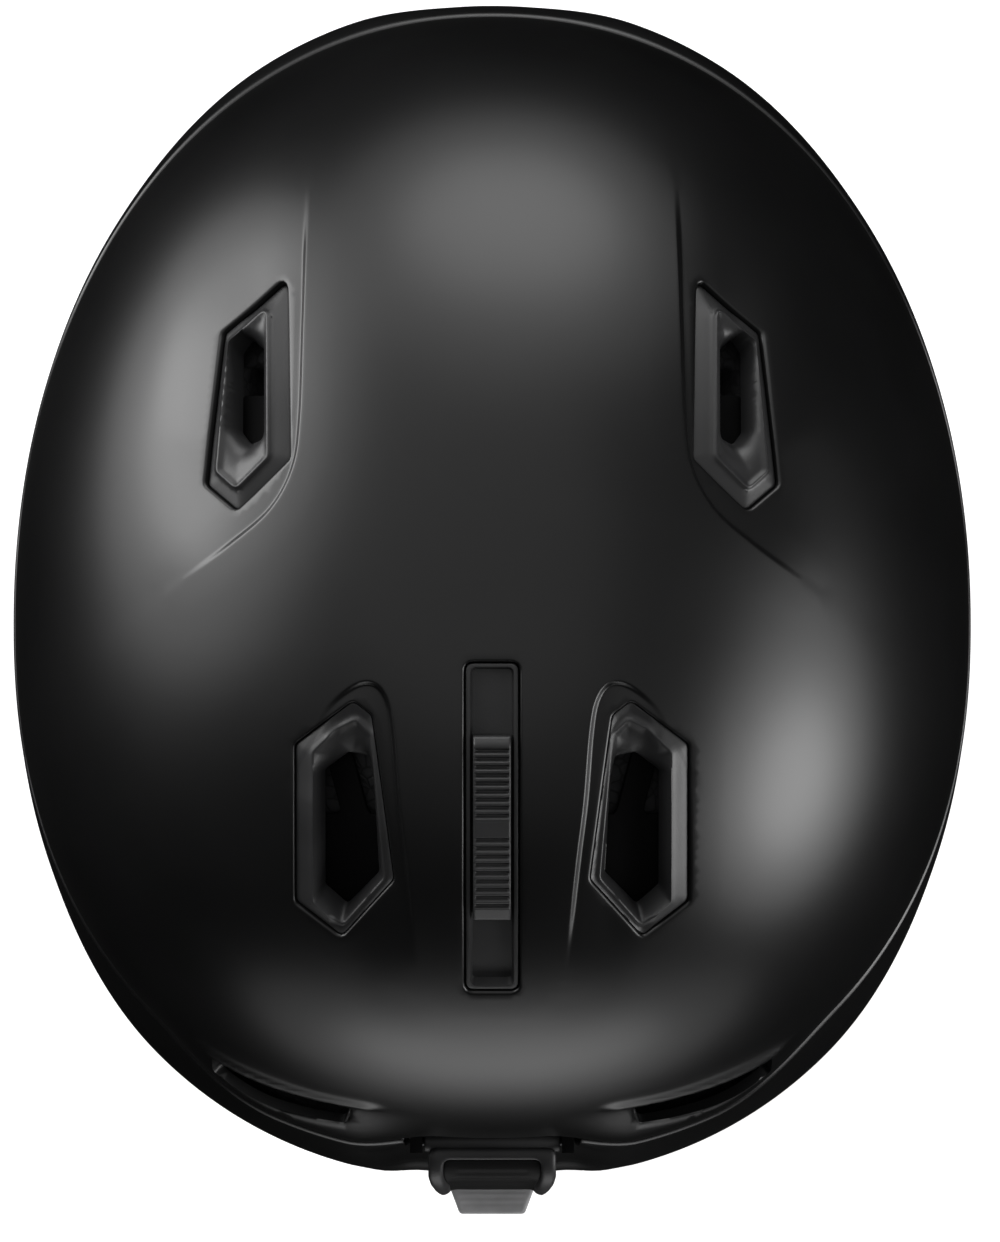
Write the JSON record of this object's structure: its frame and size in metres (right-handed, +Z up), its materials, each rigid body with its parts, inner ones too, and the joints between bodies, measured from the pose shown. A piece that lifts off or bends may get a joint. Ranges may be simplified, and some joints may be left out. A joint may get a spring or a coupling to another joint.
{
  "type": "ski helmet",
  "caption": "Hard-shell ski helmet with a foam liner, sliding vents, goggle-strap retainer, dial fit band, padded ear pieces and a buckled chin strap.",
  "frame": {"origin": "on the floor under the middle of the helmet as it stands on the flat bottoms of its ear pads", "axes": "+Z up; the brow faces -Y and the nape +Y; +X is the wearer's left"},
  "size_m": [0.2324, 0.2936, 0.232],
  "materials": {
    "shell": "satin black moulded plastic, very fine grain",
    "trim_rubber": "matte black rubber",
    "insert_plastic": "matte dark grey moulded plastic",
    "grip_plastic": "matte dark grey grip plastic",
    "tab_rubber": "mid grey soft-touch rubber",
    "liner_foam": "black expanded polystyrene with a beaded surface",
    "padding_fabric": "charcoal knit fabric over soft foam",
    "webbing": "black woven polyester webbing",
    "steel": "plain bright fasteners"
  },
  "bodies": {
    "helmet": {"upper_shell": "shell", "lower_shell": "shell", "rim_trim": "trim_rubber", "strap_keeper": "trim_rubber", "vent_frame_front_left": "insert_plastic", "vent_frame_front_right": "insert_plastic", "vent_frame_rear_left": "insert_plastic", "vent_frame_rear_right": "insert_plastic", "slider_track": "insert_plastic", "retainer_bracket": "insert_plastic", "retainer_catch": "insert_plastic", "dial_housing_back": "insert_plastic", "dial_housing_front": "insert_plastic", "arm_guide_left": "insert_plastic", "arm_guide_right": "insert_plastic", "height_strap": "insert_plastic", "strap_anchor_left": "insert_plastic", "strap_anchor_right": "insert_plastic", "buckle_female": "insert_plastic", "strap_adjuster": "insert_plastic", "liner_foam": "liner_foam", "nape_pad": "padding_fabric", "crown_pad": "padding_fabric", "brow_pad": "padding_fabric", "side_pad_left": "padding_fabric", "side_pad_right": "padding_fabric", "rear_pad": "padding_fabric", "ear_pad_left": "padding_fabric", "ear_pad_right": "padding_fabric", "chin_pad": "padding_fabric", "chin_strap_left": "webbing", "chin_strap_right": "webbing", "retainer_pin": "steel", "ear_pad_snap_front_left": "steel", "ear_pad_snap_front_right": "steel", "ear_pad_snap_rear_left": "steel", "ear_pad_snap_rear_right": "steel"},
    "vent_control": {"vent_slider": "grip_plastic", "shutter_plate": "insert_plastic", "shutter_screw_front": "steel", "shutter_screw_rear": "steel"},
    "retainer": {"retainer_clip": "insert_plastic", "retainer_web": "trim_rubber", "retainer_tab": "tab_rubber"},
    "dial": {"dial_knob": "grip_plastic", "dial_pinion": "insert_plastic", "dial_screw": "steel"},
    "arm_left": {"fit_arm_left": "insert_plastic"},
    "arm_right": {"fit_arm_right": "insert_plastic"},
    "buckle_tongue": {"buckle_male": "insert_plastic"}
  },
  "joints": [
    {"name": "vent_slide", "type": "hinge", "parent": "helmet", "child": "vent_control", "pos_m": [0, -0.00405, 0.06552], "axis": [1, 0, 0], "range_deg": [-4.3, 4.3]},
    {"name": "retainer_open", "type": "hinge", "parent": "helmet", "child": "retainer", "pos_m": [0, 0.12844, 0.108], "axis": [1, 0, 0], "range_deg": [0, 60]},
    {"name": "dial_turn", "type": "hinge", "parent": "helmet", "child": "dial", "pos_m": [0, 0.00324, 0.093], "axis": [0, 0.8829, -0.4695], "range_deg": [-170, 170]},
    {"name": "arm_left_slide", "type": "hinge", "parent": "helmet", "child": "arm_left", "pos_m": [0, 0.00324, 0.093], "axis": [0, 0.4695, 0.8829], "range_deg": [-8.2, 8.2]},
    {"name": "arm_right_slide", "type": "hinge", "parent": "helmet", "child": "arm_right", "pos_m": [0, 0.00324, 0.093], "axis": [0, 0.4695, 0.8829], "range_deg": [-8.2, 8.2]},
    {"name": "buckle_release", "type": "slide", "parent": "helmet", "child": "buckle_tongue", "axis": [0, 1, 0], "range_m": [0, 0.026], "deforming": ["chin_strap_left"]}
  ],
  "couplings": [
    {"joint": "arm_left_slide", "follows": "dial_turn", "ratio": -0.047619},
    {"joint": "arm_right_slide", "follows": "dial_turn", "ratio": 0.047619}
  ]
}
